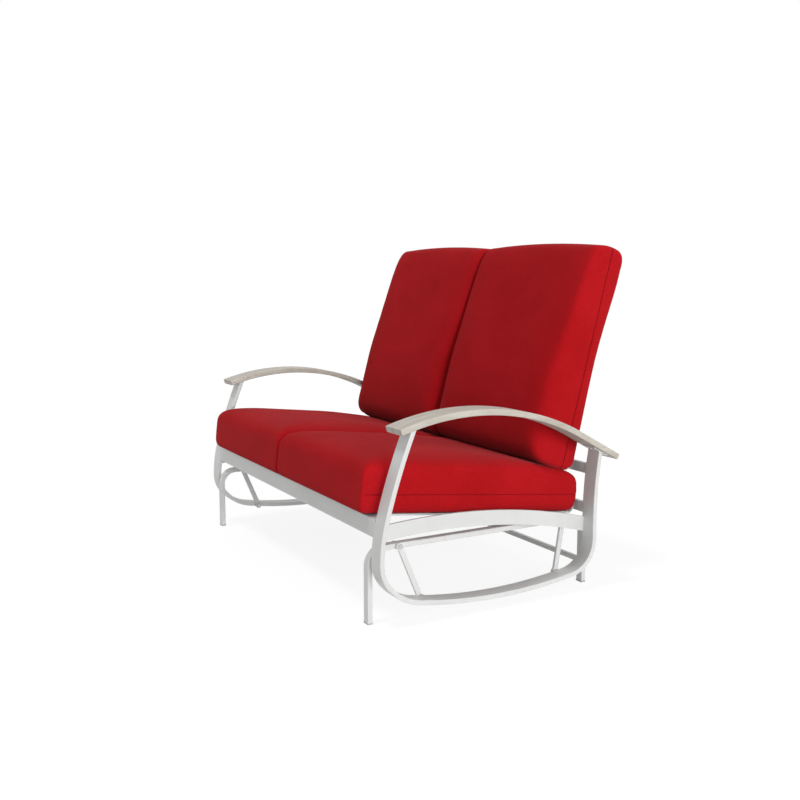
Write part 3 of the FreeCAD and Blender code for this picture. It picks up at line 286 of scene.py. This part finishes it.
def coatMaterial(name, values):
    material, tree, shader = startMaterial(name)
    place = addNode(tree, "ShaderNodeTexCoord", -900).outputs["Object"]
    tone = useGroup(tree, toneDrift, -500, 200, Place=place, Scale=5.0,
                    Dark=paint(values["dark"]), Light=paint(values["light"]))
    grit = useGroup(tree, fineGrit, -500, -200, Place=place, Scale=values["grit"],
                    Strength=values["gritStrength"], Depth=0.0002)
    rough = mathNode(tree, "MULTIPLY_ADD", grit.outputs["Grit"], 0.10, -200, -50,
                     values["roughness"] - 0.05)
    join(tree, tone.outputs["Color"], shader.inputs["Base Color"])
    join(tree, rough, shader.inputs["Roughness"])
    join(tree, grit.outputs["Normal"], shader.inputs["Normal"])
    setInputs(shader, Metallic=values.get("metallic", 0.0),
              Specular_IOR_Level=values.get("specular", 0.5))
    return material


def bumpFrom(tree, height, values, shader, x):
    bump = addNode(tree, "ShaderNodeBump", x, -250)
    setInputs(bump, Strength=values["relief"], Distance=values["reliefDepth"])
    join(tree, height, bump.inputs["Height"])
    join(tree, bump.outputs["Normal"], shader.inputs["Normal"])


def stretchedNoise(tree, place, scale, y, **values):
    # Noise drawn out along the board
    stretch = addNode(tree, "ShaderNodeMapping", -1100, y)
    setInputs(stretch, Scale=scale)
    join(tree, place, stretch.inputs["Vector"])
    noise = addNode(tree, "ShaderNodeTexNoise", -850, y)
    setInputs(noise, Scale=1.0, **values)
    join(tree, stretch.outputs[0], noise.inputs["Vector"])
    return noise.outputs["Fac"]


def armMaterial(values):
    # Long pale streaks and short dark pores that follow the board
    material, tree, shader = startMaterial("paleArmGrain")
    place = addNode(tree, "ShaderNodeTexCoord", -1300).outputs["Object"]
    streak = stretchedNoise(tree, place, values["streaks"], 150, Detail=5, Roughness=0.62,
                            Distortion=0.35)
    pore = stretchedNoise(tree, place, values["pores"], -250, Detail=2)
    ramp = addNode(tree, "ShaderNodeValToRGB", -600, 150)
    for stop, position, color in zip(ramp.color_ramp.elements, (0.34, 0.62), ("dark", "light")):
        stop.position = position
        stop.color = paint(values[color])
    join(tree, streak, ramp.inputs["Fac"])
    poreMask = addNode(tree, "ShaderNodeMapRange", -600, -250)
    setInputs(poreMask, From_Min=0.62, From_Max=0.74, To_Max=values["poreShare"])
    join(tree, pore, poreMask.inputs["Value"])
    mixed = addNode(tree, "ShaderNodeMix", -250, 100, data_type="RGBA")
    join(tree, poreMask.outputs["Result"], mixed.inputs["Factor"])
    join(tree, ramp.outputs["Color"], mixed.inputs[6])
    mixed.inputs[7].default_value = paint(values["pore"])
    join(tree, mixed.outputs[2], shader.inputs["Base Color"])
    rough = mathNode(tree, "MULTIPLY_ADD", streak, 0.16, -250, -60, values["roughness"] - 0.08)
    join(tree, rough, shader.inputs["Roughness"])
    relief = mathNode(tree, "SUBTRACT", streak, poreMask.outputs["Result"], -250, -250)
    bumpFrom(tree, relief, values, shader, 50)
    return material


def clothMaterial(values, name="redCushionCloth", shade=1.0):
    material, tree, shader = startMaterial(name)
    place = addNode(tree, "ShaderNodeAttribute", -1100, 200, attribute_name="clothPlace")
    facing = addNode(tree, "ShaderNodeAttribute", -1100, -100, attribute_name="clothFacing")
    dark, light = (tuple(shade * part for part in values[tone]) for tone in ("dark", "light"))
    tone = useGroup(tree, toneDrift, -700, 250, Place=place.outputs["Vector"], Scale=6.0,
                    Dark=paint(dark), Light=paint(light))
    weave = useGroup(tree, plainWeave, -700, -100, Place=place.outputs["Vector"],
                     Facing=facing.outputs["Vector"], Threads=values["threads"])
    slubTone = addNode(tree, "ShaderNodeMapRange", -500, 0)
    darkest, lightest = values["slubs"]
    setInputs(slubTone, From_Min=0.3, From_Max=0.7, To_Min=darkest, To_Max=lightest)
    join(tree, weave.outputs["Slub"], slubTone.inputs["Value"])
    slubbed = addNode(tree, "ShaderNodeMix", -350, 200, data_type="RGBA", blend_type="MULTIPLY")
    setInputs(slubbed, Factor=1.0)
    join(tree, tone.outputs["Color"], slubbed.inputs[6])
    join(tree, slubTone.outputs["Result"], slubbed.inputs[7])
    # what the cloth throws onto the pale frame is less red than the cloth itself
    path = addNode(tree, "ShaderNodeLightPath", -350, 500)
    share = mathNode(tree, "MULTIPLY", path.outputs["Is Diffuse Ray"], values["thrownShare"], -150, 450)
    thrown = addNode(tree, "ShaderNodeMix", 0, 300, data_type="RGBA")
    join(tree, share, thrown.inputs["Factor"])
    join(tree, slubbed.outputs[2], thrown.inputs[6])
    thrown.inputs[7].default_value = paint(values["thrown"])
    join(tree, thrown.outputs[2], shader.inputs["Base Color"])
    rough = mathNode(tree, "MULTIPLY_ADD", weave.outputs["Slub"], 0.12, -200, -50,
                     values["roughness"] - 0.06)
    join(tree, rough, shader.inputs["Roughness"])
    bumpFrom(tree, weave.outputs["Height"], values, shader, 0)
    setInputs(shader, Sheen_Weight=values["sheen"], Sheen_Roughness=values["sheenRoughness"],
              Specular_IOR_Level=values["specular"])
    return material


coatFinish = coatMaterial("whitePowderCoat", powderCoat)
armFinish = armMaterial(armBoard)
clothFinish = clothMaterial(redCloth)
# the seam thread is the cloth at 0.45 of its colour: painted shade for the dark crease along the seam
seamPaintedShadeFinish = clothMaterial(redCloth, "redSeamThreadPaintedShade", 0.45)
glideFinish = coatMaterial("paleNylonGlide", paleNylon)
bearingFinish = coatMaterial("greyNylonBearing", greyNylon)
zincFinish = coatMaterial("zincPlatedSteel", zincPlate)
print("finishes made")


def finishFor(name):
    if name in ("arm_left", "arm_right"):
        return armFinish
    if name.startswith("glide"):
        return glideFinish
    if name.startswith("bearings"):
        return bearingFinish
    if name == "arm_screws" or any(word in name for word in ("bolts", "spacers", "rings", "inserts")):
        return zincFinish
    if "cushion" in name:
        return clothFinish
    return coatFinish


for name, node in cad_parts.items():
    if not node.material_slots:
        node.data.materials.append(None)
    for slot in node.material_slots:
        slot.material = finishFor(name)
print("frame pieces finished")


# Cushions. Sizes in millimetres. A level is (height, gap at the low end, gap at the high end,
# gap at the sides, corner radius at the high end).
cushionShape = {
    "width": 575,
    "gap": 1,              # half the space between the two of a pair
    "voxel": 6.5,
    "shrink": 1.4,         # the pad starts this much smaller and swells
    "swell": 5.0,          # and a point moves no further than this
    "pressure": 4.0,
    "frames": 20,          # how long the air pressure works
    "foamGive": 0.12,      # share of an inward pull that the foam core lets through
    "pullIn": 1.2,         # sides drawn in between the corners
    "skin": 0.35,          # nothing comes nearer than this to the edge of the cushion's room
    "sideHold": 0.8,       # how firmly the sewn sides keep their cut shape
    "crown": (0.62, 0.8),  # shares of the height between which the crown begins
    "contact": 0.4,        # left open where a back cushion rests on a seat cushion
    "sink": (3, 12),       # an underside sinks onto the crown from the first, not from the second
    "grooveDepth": 1.6,
    "grooveWidth": 3.0,
    "threadRadius": 0.7,
}
seatCushion = {
    "length": 722,
    "corner": 8,
    "sewnFront": False,    # the seam stops at the front corners
    "seam": 55,
    "pitch": -6.43,
    "place": (-18 - 427.75, 293.3 + 18 * math.tan(math.radians(6.43))),
    "levels": [
        (0, 20, 24, 24, 0), (2, 11, 15, 13, 0), (8, 4, 8, 5, 0), (20, 1, 3, 1, 0), (48, 0, 0, 0, 0),
        (55, 0, 0, 0, 0), (62, 0, 0, 0, 0), (100, 0, 4, 0, 12), (112, 2, 10, 1.5, 15),
        (122, 6, 28, 5, 20), (131, 13, 66, 12, 28), (141, 28, 132, 29, 38), (150, 55, 222, 58, 50),
        (158, 100, 310, 100, 50), (164, 180, 425, 170, 45),
    ],
}
backTilt = math.radians(15.15)
backCushion = {
    "length": 676.5,
    "arch": 11.5,          # middle of the top edge above its ends
    "corner": 13,
    "sewnFront": True,
    "bulge": 8,            # how far the rear swells outside the posts and above the top bar
    "posts": (240, 262),   # where that starts and is full, from the middle to the sides
    "rise": (360, 600),    # and up the sides
    "topBar": (626, 645),  # and above the bar
    "seam": 47.5,
    "pitch": 90 - math.degrees(backTilt),
    "place": (693.5 - 427.75 - 5.5 * math.sin(backTilt) - 0.3 * math.cos(backTilt),
              345 - 5.5 * math.cos(backTilt) + 0.3 * math.sin(backTilt)),
    "rearEdge": 32,        # the levels below this make the rear edge
    "levels": [
        (0, 26, 30, 38, 24), (3, 14, 17, 19, 21), (10, 6, 7, 8, 18), (22, 2, 2, 2, 16),
        (40.5, 0, 0, 0, 16), (47.5, 0, 0, 0, 16), (54.5, 1.2, 0, 0, 16), (85, 2.8, 5, 0.5, 20),
        (105, 4.4, 14, 2, 30), (120, 6.8, 36, 4, 55), (131, 10.5, 82, 7, 95), (141, 17, 165, 10.5, 145),
        (151, 28, 245, 16, 148), (161, 50, 325, 32, 120), (167, 88, 385, 65, 80),
        (170, 145, 425, 120, 48),
    ],
}


def steady(points, along):
    # Monotone cubic through the level values, so the crown has no dips
    xs = [p[0] for p in points]
    ys = [p[1] for p in points]
    count = len(xs)
    slopes = [(ys[n + 1] - ys[n]) / max(xs[n + 1] - xs[n], 1e-9) for n in range(count - 1)]
    tangents = [slopes[0]] + [0.0] * (count - 2) + [slopes[-1]]
    for n in range(1, count - 1):
        if slopes[n - 1] * slopes[n] > 0:
            tangents[n] = 2 * slopes[n - 1] * slopes[n] / (slopes[n - 1] + slopes[n])
    for n in range(count - 1):
        if along <= xs[n + 1] or n == count - 2:
            step = max(xs[n + 1] - xs[n], 1e-9)
            t = (along - xs[n]) / step
            a = 2 * t ** 3 - 3 * t ** 2 + 1
            b = t ** 3 - 2 * t ** 2 + t
            c = -2 * t ** 3 + 3 * t ** 2
            d = t ** 3 - t ** 2
            return a * ys[n] + b * step * tangents[n] + c * ys[n + 1] + d * step * tangents[n + 1]


def rearRound(y, shape):
    # How much of a rear level's gap at the sides is kept, from the low end to the high end
    share = y / shape["length"]
    return 1.7 - 1.5 * share if share < 0.45 else max(0.3, 1.025 - 1.9 * (share - 0.45))


def ringOf(shape, level, low, high, inset, corner, shrink, pull):
    # One closed outline of the cushion, in millimetres
    cornerSteps, sideSteps = 8, 12
    inset += shrink
    low += shrink
    top = shape["length"] - high - shrink
    width = cushionShape["width"] / 2 - inset
    lowRadius = shape["corner"] + 0.2 * inset
    highRadius = max(corner, lowRadius)
    across, cornerY, turn = width - highRadius, top - highRadius, 90
    arch, bow = shape.get("arch", 0), 0
    if arch > 0:
        # the corners run into the arc of the bow without a kink
        half = cushionShape["width"] / 2
        bow = (half ** 2 + arch ** 2) / (2 * arch)
        rise = math.sqrt((bow - highRadius) ** 2 - across ** 2)
        cornerY = top - bow + rise
        turn = math.degrees(math.atan2(rise, across))
    corners = (
        (across, cornerY, highRadius, 0, turn),
        (-across, cornerY, highRadius, 180 - turn, 180),
        (lowRadius - width, low + lowRadius, lowRadius, 180, 270),
        (width - lowRadius, low + lowRadius, lowRadius, 270, 360),
    )
    points = []
    for number, (x, y, radius, first, last) in enumerate(corners):
        for step in range(cornerSteps + 1):
            angle = math.radians(first + (last - first) * step / cornerSteps)
            points.append((x + radius * math.cos(angle), y + radius * math.sin(angle)))
        nextX, nextY, nextRadius, nextFirst, _ = corners[(number + 1) % 4]
        start = points[-1]
        end = (nextX + nextRadius * math.cos(math.radians(nextFirst)),
               nextY + nextRadius * math.sin(math.radians(nextFirst)))
        for step in range(1, sideSteps):
            share = step / sideSteps
            if number == 0 and bow:
                angle = math.radians(turn + (180 - 2 * turn) * share)
                points.append((bow * math.cos(angle), top - bow + bow * math.sin(angle)))
            else:
                points.append(tuple(a + (b - a) * share for a, b in zip(start, end)))
    middle = shape["length"] / 2
    if level < shape.get("rearEdge", 0):
        # the rear edge is rounder low down and fuller near the top
        points = [(x + math.copysign(inset * (1 - rearRound(y, shape)) * abs(x) / width, x), y)
                  for x, y in points]
    # the sides pull in a little between the corners
    drawn = []
    for x, y in points:
        pullX = pull * max(0, 1 - ((y - middle) / middle) ** 2) * abs(x) / width
        pullY = pull * max(0, 1 - (x / width) ** 2) * abs(y - middle) / middle
        drawn.append((x - math.copysign(pullX, x), y - math.copysign(pullY, y - middle), level))
    return drawn


def bridge(mesh, first, second):
    # Joins two rings of points with a band of faces
    count = len(first)
    for n in range(count):
        after = (n + 1) % count
        mesh.faces.new((first[n], first[after], second[after], second[n]))


def inMetres(mesh, name):
    bmesh.ops.scale(mesh, vec=(mm, mm, mm), verts=mesh.verts)
    bmesh.ops.recalc_face_normals(mesh, faces=mesh.faces)
    data = bpy.data.meshes.new(name)
    mesh.to_mesh(data)
    mesh.free()
    return data


def padMesh(name, shape, shrink, pull):
    # A closed shell from stacked outlines; heights run close together near the rim
    levels = shape["levels"]
    path = [0.0]
    for first, second in zip(levels, levels[1:]):
        path.append(path[-1] + math.hypot(second[0] - first[0], second[3] - first[3]) + 0.01)
    columns = [[(path[n], level[part]) for n, level in enumerate(levels)] for part in range(5)]
    top = levels[-1][0]
    steps, evenings = 64, 5
    samples = [[steady(column, path[-1] * step / steps) for column in columns]
               for step in range(steps + 1)]
    for _ in range(evenings):
        # evens out the samples, so no band shows where two levels meet
        samples = ([samples[0]] + [[(a + 2 * b + c) / 4 for a, b, c in zip(*samples[n - 1:n + 2])]
                                   for n in range(1, steps)] + [samples[-1]])
    mesh = bmesh.new()
    rings = []
    for height, low, high, inset, corner in samples:
        height = shrink + height * (top - 2 * shrink) / top
        outline = ringOf(shape, height, low, high, inset, corner, shrink, pull)
        rings.append([mesh.verts.new(point) for point in outline])
    for lower, upper in zip(rings, rings[1:]):
        bridge(mesh, lower, upper)
    mesh.faces.new(list(reversed(rings[0])))
    mesh.faces.new(rings[-1])
    return inMetres(mesh, name)


def applyAll(piece):
    # Bakes the modifiers into the mesh
    graph = bpy.context.evaluated_depsgraph_get()
    baked = bpy.data.meshes.new_from_object(piece.evaluated_get(graph))
    piece.modifiers.clear()
    old = piece.data
    piece.data = baked
    bpy.data.meshes.remove(old)


def soften(piece, rounds, group=""):
    modifier = piece.modifiers.new("soften", "SMOOTH")
    modifier.factor = 0.5
    modifier.iterations = rounds
    modifier.vertex_group = group
    applyAll(piece)


def swellPad(piece, seam):
    # Cloth simulation: air pressure fills the pad, its seam is held
    rest = [vertex.co.copy() for vertex in piece.data.vertices]
    outward = [vertex.normal.copy() for vertex in piece.data.vertices]
    held = piece.vertex_groups.new(name="seamHeld")
    held.add([n for n, co in enumerate(rest) if abs(co.z - seam * mm) < 4 * mm], 1.0, "REPLACE")
    cloth = piece.modifiers.new("swell", "CLOTH")
    settings = cloth.settings
    settings.quality = 5
    settings.mass = 0.3
    settings.tension_stiffness = 15
    settings.compression_stiffness = 15
    settings.shear_stiffness = 8
    settings.bending_stiffness = 1.5
    settings.use_pressure = True
    settings.uniform_pressure_force = cushionShape["pressure"]
    settings.vertex_group_mass = "seamHeld"
    settings.effector_weights.gravity = 0
    cloth.collision_settings.use_collision = False
    cloth.point_cache.frame_start = 1
    cloth.point_cache.frame_end = cushionShape["frames"]
    for number in range(1, cushionShape["frames"] + 1):
        bpy.context.scene.frame_set(number)
    applyAll(piece)
    bpy.context.scene.frame_set(1)
    limit = cushionShape["swell"] * mm
    for vertex, start, normal in zip(piece.data.vertices, rest, outward):
        move = vertex.co - start
        pulled = min(0.0, move.dot(normal)) * (1 - cushionShape["foamGive"])
        move -= normal * pulled
        if move.length > limit:
            move *= limit / move.length
        vertex.co = start + move


def fitRoom(piece, shape):
    # The sewn sides return to their cut, and nothing swells out of the cushion's room
    data = padMesh("room", shape, 0, 0)
    room = bmesh.new()
    room.from_mesh(data)
    bmesh.ops.triangulate(room, faces=room.faces)
    tree = BVHTree.FromBMesh(room)
    room.free()
    bpy.data.meshes.remove(data)
    skin = cushionShape["skin"] * mm
    for vertex in piece.data.vertices:
        point, normal, _, _ = tree.find_nearest(vertex.co)
        depth = (point - vertex.co).dot(normal)
        hold = cushionShape["sideHold"] * (1 - 0.5 * abs(normal.z)) if depth > skin else 1
        vertex.co += normal * (depth - skin) * hold


def weighCrown(piece, shape):
    # Weight 0 below the crown and 1 on it
    low, high = (share * shape["levels"][-1][0] * mm for share in cushionShape["crown"])
    group = piece.vertex_groups.new(name="crown")
    for n, vertex in enumerate(piece.data.vertices):
        weight = (vertex.co.z - low) / (high - low)
        if weight > 0:
            group.add([n], min(1.0, weight), "REPLACE")


def makeCushion(kind, shape):
    data = padMesh(kind + "Pad", shape, cushionShape["shrink"], cushionShape["pullIn"])
    piece = addObject(kind + "Pad", data)
    remesh = piece.modifiers.new("evenMesh", "REMESH")
    remesh.mode = "VOXEL"
    remesh.voxel_size = cushionShape["voxel"] * mm
    remesh.use_smooth_shade = True
    applyAll(piece)
    soften(piece, 3)
    swellPad(piece, shape["seam"])
    fitRoom(piece, shape)
    weighCrown(piece, shape)
    soften(piece, 6, "crown")    # evens out the crown, so it shows one smooth curve
    rounder = piece.modifiers.new("rounder", "SUBSURF")
    rounder.levels = 1
    applyAll(piece)
    fitRoom(piece, shape)
    creaseSeam(piece, shape)
    if "bulge" in shape:
        bulgeRear(piece, shape)
    return piece


def smoothStep(low, high, value):
    share = min(1.0, max(0.0, (value - low) / (high - low)))
    return share * share * (3 - 2 * share)


def bulgeRear(piece, shape):
    # Outside the posts and above the top bar nothing holds the rear of the cushion flat
    for vertex in piece.data.vertices:
        x, y, z = vertex.co / mm
        if z < shape["seam"]:
            outside = smoothStep(*shape["posts"], x) * smoothStep(*shape["rise"], y)
            above = smoothStep(*shape["topBar"], y)
            vertex.co.z -= shape["bulge"] * mm * max(outside, above) * (1 - z / shape["seam"])
    piece.data.update()


def treeOf(piece):
    data = piece.data
    return BVHTree.FromPolygons([vertex.co.copy() for vertex in data.vertices],
                                [tuple(face.vertices) for face in data.polygons])


def restOn(piece, shape, seat):
    # The underside of a back cushion sinks onto the crown that it stands on
    matrix = placeOf(shape, 1)
    down = (matrix.to_3x3() @ Vector((0, -1, 0))).normalized()
    start, reach = 10 * mm, 30 * mm
    for vertex in piece.data.vertices:
        facing = -vertex.normal.y
        if vertex.co.y > 50 * mm or facing < 0.1:
            continue
        hit, _, _, distance = seat.ray_cast(matrix @ vertex.co - down * start, down, reach)
        if hit is None:
            continue
        gap = distance - start - cushionShape["contact"] * mm
        share = 1    # all of it, where the two would run into each other
        if gap > 0:
            share = (1 - smoothStep(*cushionShape["sink"], gap / mm)) * smoothStep(0.1, 0.6, facing)
        vertex.co.y -= gap * share
    piece.data.update()


def sewn(shape, y):
    # Whether the seam shows at this place: 1 along the sides, 0 on an unsewn front
    return 1.0 if shape["sewnFront"] else min(1.0, max(0.0, (y / mm - 4) / 12))


def creaseSeam(piece, shape):
    # A narrow groove around the sides, at the height of the seam
    half, middle = cushionShape["width"] * mm / 2, shape["length"] * mm / 2
    beside = 0.9    # beyond this share of the way out, a point lies on the sides
    for vertex in piece.data.vertices:
        co = vertex.co
        near = abs(co.z / mm - shape["seam"]) / cushionShape["grooveWidth"]
        if near < 2:
            depth = cushionShape["grooveDepth"] * mm * math.exp(-near * near * 1.6) * sewn(shape, co.y)
            across, along = co.x / half, (co.y - middle) / middle
            side = Vector((math.copysign(max(0, abs(across) - beside), across),
                           math.copysign(max(0, abs(along) - beside), along), 0))
            if side.length > 0:
                vertex.co = co - side.normalized() * depth
    piece.data.update()


def seamThread(name, shape):
    # The sewn line that lies in the groove along the cushion's sides; its darkened finish is painted
    # shade for the crease
    inset = cushionShape["grooveDepth"] * 0.62
    corner = shape["levels"][5][4]    # as at the height of the seam
    outline = [Vector(point) for point in ringOf(shape, shape["seam"], 0, 0, 0, corner, inset, 0)]
    closed = shape["sewnFront"]
    if not closed:
        # starts at one front corner and ends at the other
        shown = [n for n, point in enumerate(outline) if point.y > 7]
        breaks = [n for n in range(len(shown)) if shown[n] - shown[n - 1] > 1]
        order = shown[breaks[0]:] + shown[:breaks[0]] if breaks else shown
        outline = [outline[n] for n in order]
    radius, flatness, sides = cushionShape["threadRadius"], 0.8, 8
    up = Vector((0, 0, 1))
    mesh = bmesh.new()
    rings = []
    count = len(outline)
    for n, here in enumerate(outline):
        after = outline[(n + 1) % count] if closed or n < count - 1 else here
        before = outline[n - 1] if closed or n > 0 else here
        side = (after - before).normalized().cross(up)
        turns = [math.tau * step / sides for step in range(sides)]
        rings.append([mesh.verts.new(here + side * radius * math.cos(turn)
                                     + up * radius * flatness * math.sin(turn)) for turn in turns])
    for first, second in zip(rings, rings[1:]):
        bridge(mesh, first, second)
    if closed:
        bridge(mesh, rings[-1], rings[0])
    else:
        mesh.faces.new(rings[0])
        mesh.faces.new(list(reversed(rings[-1])))
    return addObject(name, inMetres(mesh, name))


def addClothMaps(piece):
    # Where each point lies in the cloth and which way it faces, before the piece is tilted
    data = piece.data
    place = data.attributes.new("clothPlace", "FLOAT_VECTOR", "POINT")
    facing = data.attributes.new("clothFacing", "FLOAT_VECTOR", "POINT")
    for n, vertex in enumerate(data.vertices):
        place.data[n].vector = vertex.co
        parts = [abs(part) ** 4 for part in vertex.normal]
        total = sum(parts) or 1
        facing.data[n].vector = [part / total for part in parts]


def placeOf(shape, side):
    # From the cushion's own axes into the bench; the left one is mirrored
    shift = side * (cushionShape["width"] / 2 + cushionShape["gap"])
    matrix = (Matrix.Translation(Vector((shift, *shape["place"])) * mm)
              @ Matrix.Rotation(math.radians(shape["pitch"]), 4, "X"))
    return matrix @ Matrix.Scale(side, 4, (1, 0, 0))


def settle(piece, shape, side):
    piece.data.transform(placeOf(shape, side))
    if side < 0:
        piece.data.flip_normals()
    for face in piece.data.polygons:
        face.use_smooth = True


def dress(kind, shape, seat=None):
    soft = makeCushion(kind, shape)
    if seat is not None:
        restOn(soft, shape, seat)
    thread = seamThread(kind + "Seam", shape)
    addClothMaps(soft)
    addClothMaps(thread)
    soft.data.materials.append(clothFinish)
    # the thread's darker finish is painted shade in the seam's groove
    thread.data.materials.append(seamPaintedShadeFinish)
    for word, side in (("left", -1), ("right", 1)):
        for source, label in ((soft, kind + "Cushion_" + word), (thread, kind + "Seam_" + word)):
            copy = addObject(label, source.data.copy())
            settle(copy, shape, side)
            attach(copy, "seat")
            if source is soft:
                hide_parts("%s_cushion_%s" % (kind, word))
    for source in (soft, thread):
        bpy.data.objects.remove(source)


dress("seat", seatCushion)
print("seat cushions made")
dress("back", backCushion, treeOf(bpy.data.objects["seatCushion_right"]))
print("back cushions made")


# Floor, lights and backdrop

studio = {
    "worldLight": 0.30,
    "topPlace": (0.1, -1.2, 4),
    "topStrength": 0.86,
    "topSoftness": 10.0,     # degrees across
    "sidePlace": (4.4, -0.1, 0.75),
    "sideStrength": 2.06,
    "sideSoftness": 38.0,
    "backPlace": (1.0, 3.0, 1.3),
    "backStrength": 0.40,
    "backSoftness": 60.0,
    "floorColor": 0.72,      # what the floor throws back at the bench
    "floorShade": 0.20,      # how strongly the camera sees shadows on it
    "floorGlow": 0.876,
    "floorReach": 40,        # m
}


def seenDirectly(tree, x):
    # 1 for what the camera sees by itself, in a reflection or through glass
    path = addNode(tree, "ShaderNodeLightPath", x)
    seen = mathNode(tree, "MAXIMUM", path.outputs["Is Camera Ray"], path.outputs["Is Glossy Ray"],
                    x + 200)
    return mathNode(tree, "MAXIMUM", seen, path.outputs["Is Transmission Ray"], x + 400)


def makeFloor():
    data = bpy.data.meshes.new("studioFloor")
    reach = studio["floorReach"]
    corners = [(-reach, -reach, 0), (reach, -reach, 0), (reach, reach, 0), (-reach, reach, 0)]
    data.from_pydata(corners, [], [(0, 1, 2, 3)])
    floor = addObject("studioFloor", data)
    material = bpy.data.materials.new("paleFloor")
    material.use_nodes = True
    tree = material.node_tree
    tree.nodes.clear()
    bounce = addNode(tree, "ShaderNodeBsdfDiffuse", 0, 300)
    setInputs(bounce, Color=paint((studio["floorColor"],) * 3))
    shade = addNode(tree, "ShaderNodeBsdfDiffuse", 0, 100)
    setInputs(shade, Color=paint((studio["floorShade"],) * 3))
    glow = addNode(tree, "ShaderNodeEmission", 0, -100)
    setInputs(glow, Color=(1, 1, 1, 1), Strength=studio["floorGlow"])
    shown = addNode(tree, "ShaderNodeAddShader", 250, 0)
    join(tree, shade.outputs[0], shown.inputs[0])
    join(tree, glow.outputs[0], shown.inputs[1])
    choice = addNode(tree, "ShaderNodeMixShader", 450, 150)
    join(tree, seenDirectly(tree, -500), choice.inputs[0])
    join(tree, bounce.outputs[0], choice.inputs[1])
    join(tree, shown.outputs[0], choice.inputs[2])
    output = addNode(tree, "ShaderNodeOutputMaterial", 650, 150)
    join(tree, choice.outputs[0], output.inputs[0])
    floor.data.materials.append(material)


def makeWorld():
    world = bpy.data.worlds.new("studioWorld")
    bpy.context.scene.world = world
    world.use_nodes = True
    tree = world.node_tree
    tree.nodes.clear()
    strength = addNode(tree, "ShaderNodeMapRange", -100)
    setInputs(strength, To_Min=studio["worldLight"], To_Max=1.0)
    join(tree, seenDirectly(tree, -700), strength.inputs["Value"])
    back = addNode(tree, "ShaderNodeBackground", 150)
    setInputs(back, Color=(1, 1, 1, 1))
    join(tree, strength.outputs["Result"], back.inputs["Strength"])
    output = addNode(tree, "ShaderNodeOutputWorld", 350)
    join(tree, back.outputs[0], output.inputs[0])


def addSun(lamp):
    # Shines from its place towards the bench
    data = bpy.data.lights.new(lamp + "Sun", "SUN")
    data.energy = studio[lamp + "Strength"]
    data.angle = math.radians(studio[lamp + "Softness"])
    sun = addObject(lamp + "Sun", data)
    sun.location = studio[lamp + "Place"]
    sun.rotation_euler = (-sun.location).to_track_quat("-Z", "Y").to_euler()


makeFloor()
makeWorld()
for lamp in ("top", "side", "back"):
    addSun(lamp)
print("studio lit")
